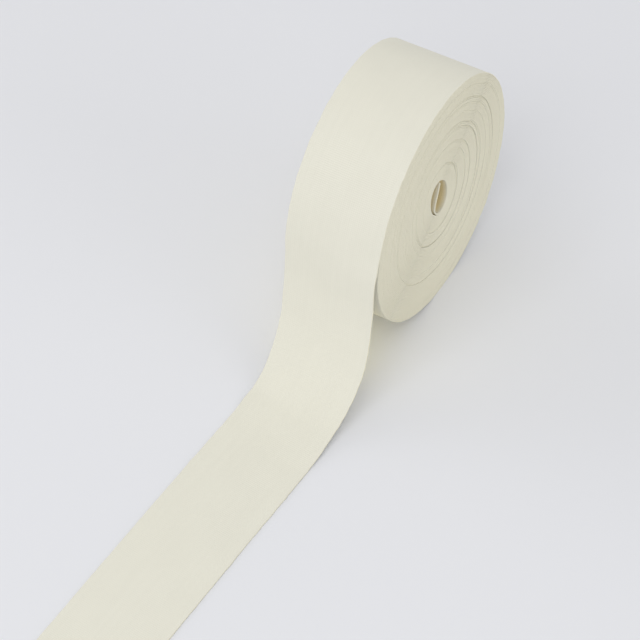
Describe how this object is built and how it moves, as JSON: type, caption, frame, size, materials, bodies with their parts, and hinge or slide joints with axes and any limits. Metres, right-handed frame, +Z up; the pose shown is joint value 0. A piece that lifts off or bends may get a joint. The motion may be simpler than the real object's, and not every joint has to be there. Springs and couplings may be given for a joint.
{
  "type": "roll of cotton ribbon",
  "caption": "Coreless roll of plain natural cotton ribbon standing on its rim, with its loose end falling to the floor and lying flat.",
  "frame": {"origin": "on the floor, in the middle of the flat spot under the roll", "axes": "+X the way the loose end runs out, +Y along the roll's axis towards the end face with the picture's view, +Z up"},
  "size_m": [0.1752, 0.0299, 0.064],
  "materials": {
    "cotton": "matt plain-woven cotton, unbleached cream"
  },
  "bodies": {
    "root": {"roll": "cotton", "loose_end": "cotton"}
  },
  "joints": []
}
